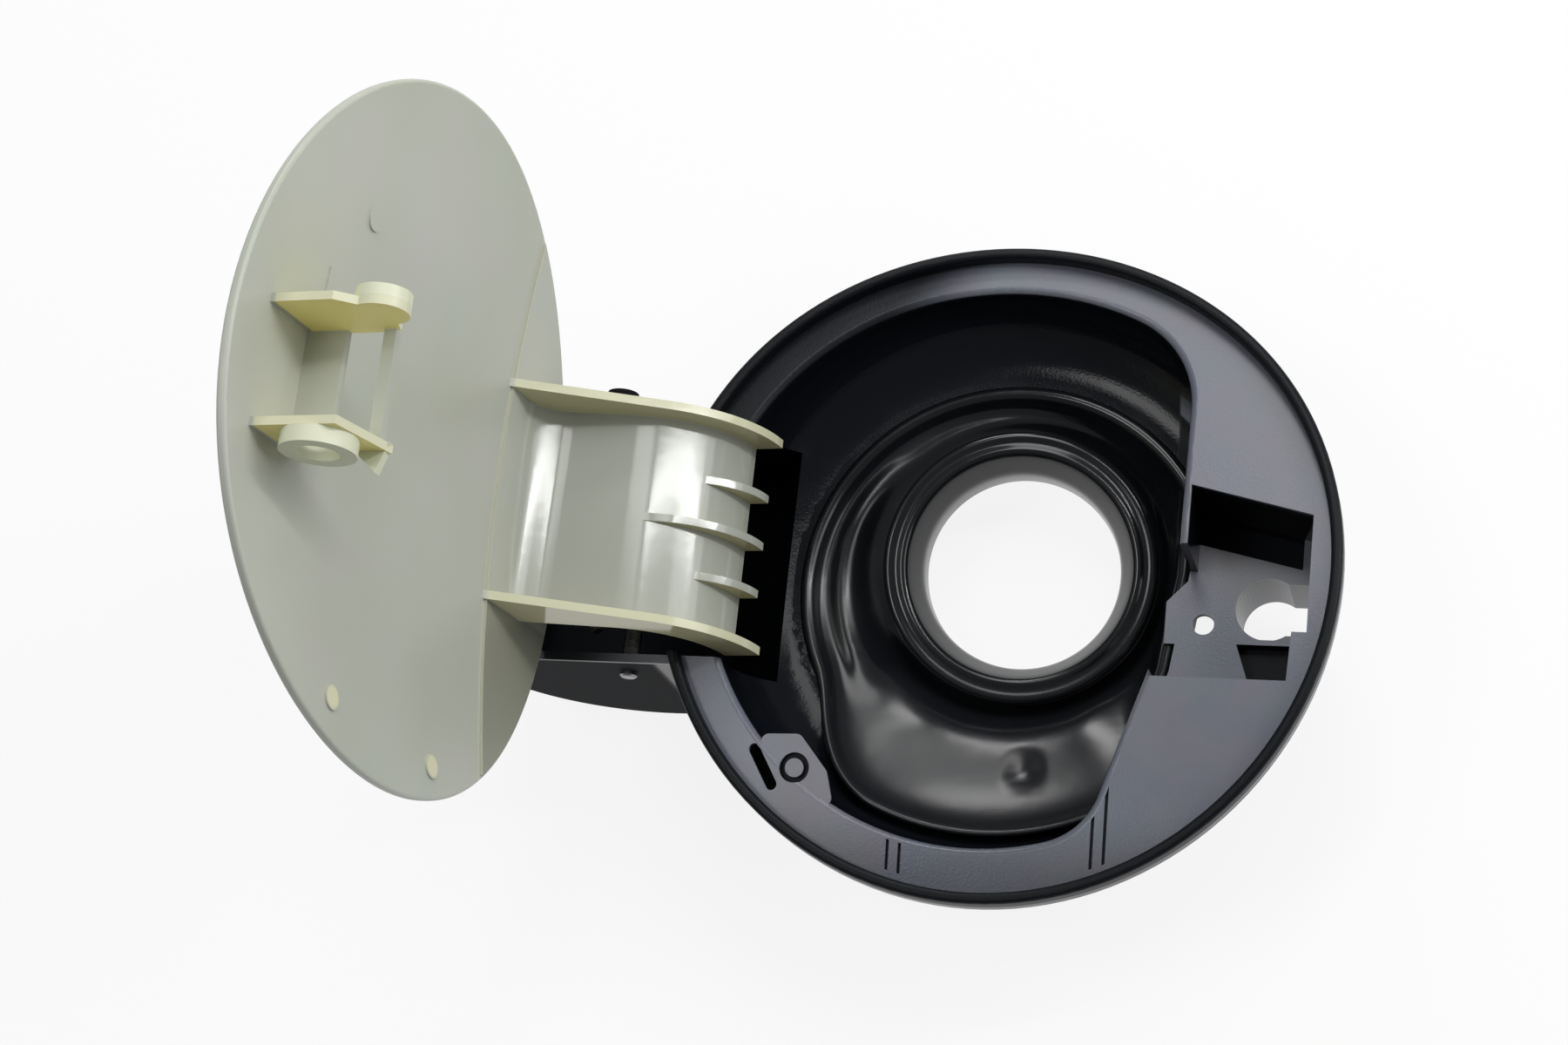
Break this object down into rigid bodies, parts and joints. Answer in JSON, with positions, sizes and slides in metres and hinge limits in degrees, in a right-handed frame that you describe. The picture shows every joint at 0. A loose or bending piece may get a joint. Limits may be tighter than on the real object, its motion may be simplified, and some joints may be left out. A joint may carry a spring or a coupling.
{
  "type": "car fuel door",
  "caption": "Round car fuel door on a gooseneck hinge arm, shown open, with a dished housing, a rubber filler boot round the neck hole and a latch recess.",
  "frame": {"origin": "middle of the housing's rim, on the car body's skin", "axes": "+X from the hinge to the latch, +Y along the hinge axis, +Z out of the car"},
  "size_m": [0.2465, 0.1888, 0.2374],
  "materials": {
    "housing_plastic": "black moulded, satin flange and glossy bowl",
    "boot_rubber": "smooth black rubber",
    "flap_plastic": "unpainted pale grey, smooth moulded",
    "pin_steel": "dark steel",
    "spring_steel": "bright spring wire"
  },
  "bodies": {
    "base": {"housing": "housing_plastic", "filler_boot": "boot_rubber", "hinge_pin": "pin_steel", "hinge_spring": "spring_steel"},
    "flap": {"fuel_flap": "flap_plastic"}
  },
  "joints": [
    {"name": "flap_hinge", "type": "hinge", "parent": "base", "child": "flap", "pos_m": [-0.1044, 0, -0.0184], "axis": [0, 1, 0], "range_deg": [0, 96.9]}
  ]
}
